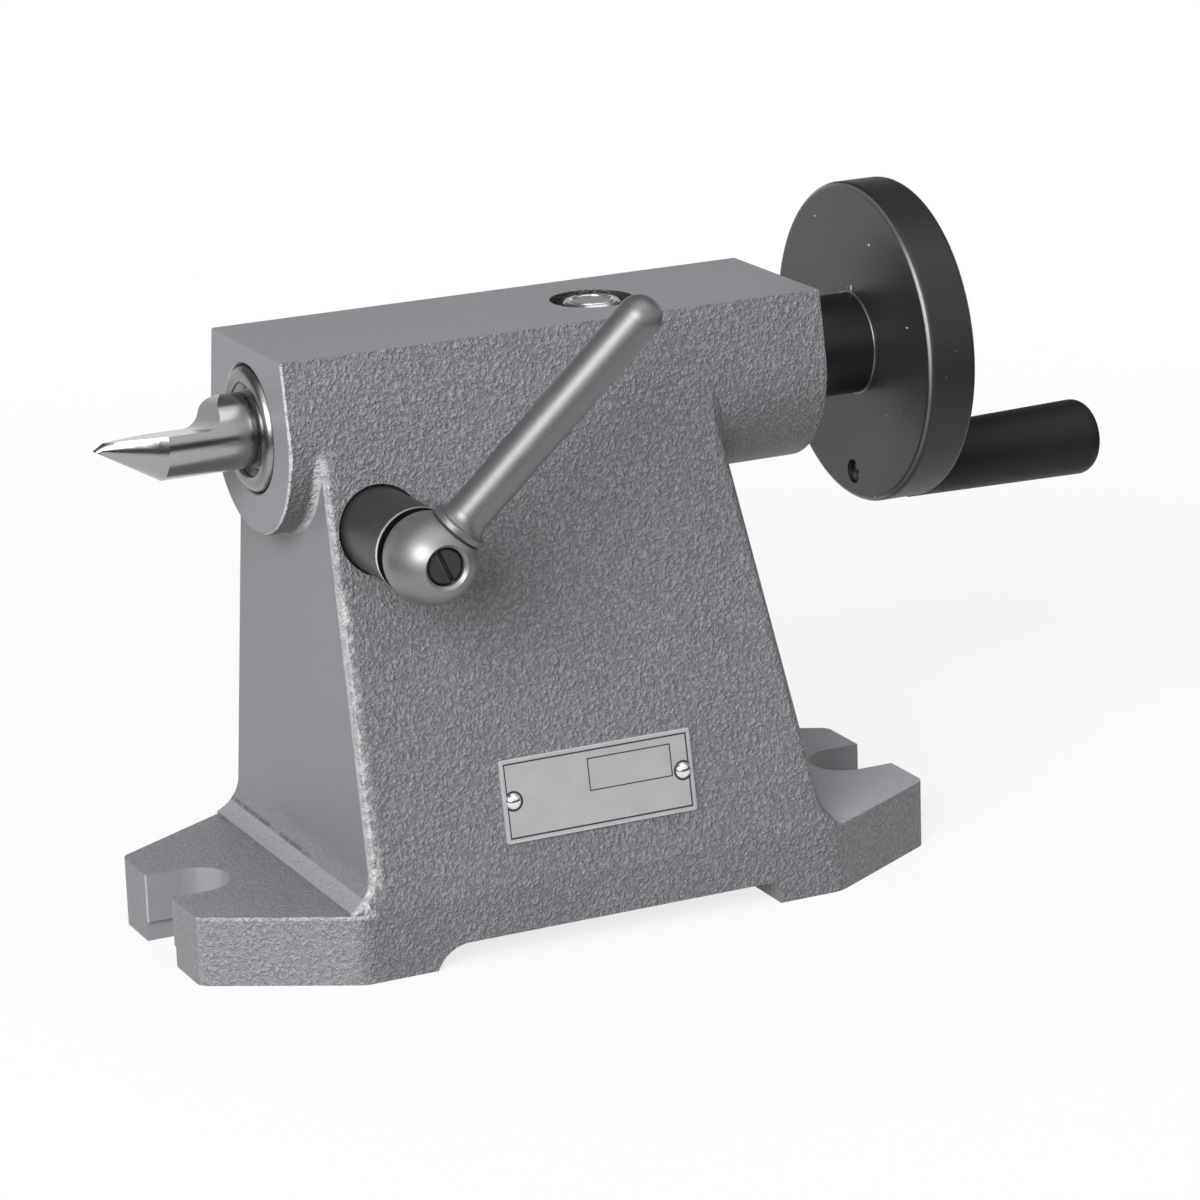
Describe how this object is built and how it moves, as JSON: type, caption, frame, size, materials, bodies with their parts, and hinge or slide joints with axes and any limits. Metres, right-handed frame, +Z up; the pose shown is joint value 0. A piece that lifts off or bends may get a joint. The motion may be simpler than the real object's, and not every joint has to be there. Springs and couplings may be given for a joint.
{
  "type": "lathe tailstock",
  "caption": "Lathe tailstock: drafted casting on slotted feet, quill with half-centre, handwheel with turning grip, and a ball-hub lever that clamps the quill.",
  "frame": {"origin": "on the base plane, at the middle of the key groove, under the spindle axis and midway between the ends of the feet", "axes": "+X along the spindle from the centre point towards the handwheel, +Z up, the name plate and clamp lever on the -Y side"},
  "size_m": [0.2664, 0.1261, 0.1649],
  "materials": {
    "casting_paint": "hammered grey enamel, satin",
    "plate_aluminium": "satin sheet with dark etched lines",
    "rivet_steel": "bright",
    "polished_steel": "ground and polished",
    "machined_steel": "turned, satin",
    "dark_steel": "blackened",
    "bronze": "turned",
    "wheel_black": "charcoal satin",
    "grip_black": "black satin",
    "lever_silver": "silver grey satin",
    "oil_cap_grey": "grey satin"
  },
  "bodies": {
    "housing": {"tailstock_body": "casting_paint", "nameplate": "plate_aluminium", "nameplate_rivets": "rivet_steel", "guide_screw": "machined_steel", "oil_cap": "oil_cap_grey", "rear_bush": "dark_steel", "bush_lock_screw": "dark_steel", "thrust_washer": "bronze", "clamp_sleeve": "dark_steel"},
    "quill": {"quill": "machined_steel", "half_center": "polished_steel", "feed_nut": "bronze", "nut_pin": "machined_steel"},
    "handwheel": {"feed_screw": "machined_steel", "handwheel": "wheel_black", "wheel_key": "machined_steel", "wheel_washer": "machined_steel", "wheel_nut": "dark_steel", "grip_spindle": "dark_steel", "grip_washer": "dark_steel"},
    "grip": {"grip": "grip_black"},
    "clamp_lever": {"clamp_screw": "dark_steel", "lever_washer": "machined_steel", "lever_hub": "lever_silver", "lever_arm": "lever_silver"},
    "clamp_cotter": {"clamp_cotter": "machined_steel"}
  },
  "joints": [
    {"name": "wheel_spin", "type": "hinge", "parent": "housing", "child": "handwheel", "pos_m": [0.08, 0, 0.125], "axis": [-1, 0, 0], "range_deg": [-180, 2160]},
    {"name": "quill_slide", "type": "slide", "parent": "housing", "child": "quill", "axis": [-1, 0, 0], "range_m": [-0.0015, 0.018]},
    {"name": "grip_spin", "type": "hinge", "parent": "handwheel", "child": "grip", "pos_m": [0.13, 0, 0.092], "axis": [1, 0, 0], "continuous": true},
    {"name": "clamp_lever_turn", "type": "hinge", "parent": "housing", "child": "clamp_lever", "pos_m": [-0.04725, -0.05, 0.10425], "axis": [0, -1, 0], "range_deg": [0, 90]},
    {"name": "cotter_slide", "type": "slide", "parent": "housing", "child": "clamp_cotter", "axis": [0, 1, 0], "range_m": [0, 0.0004]}
  ],
  "couplings": [
    {"joint": "quill_slide", "follows": "wheel_spin", "m_per_rad": 0.00047746},
    {"joint": "cotter_slide", "follows": "clamp_lever_turn", "m_per_rad": 0.00023873}
  ]
}
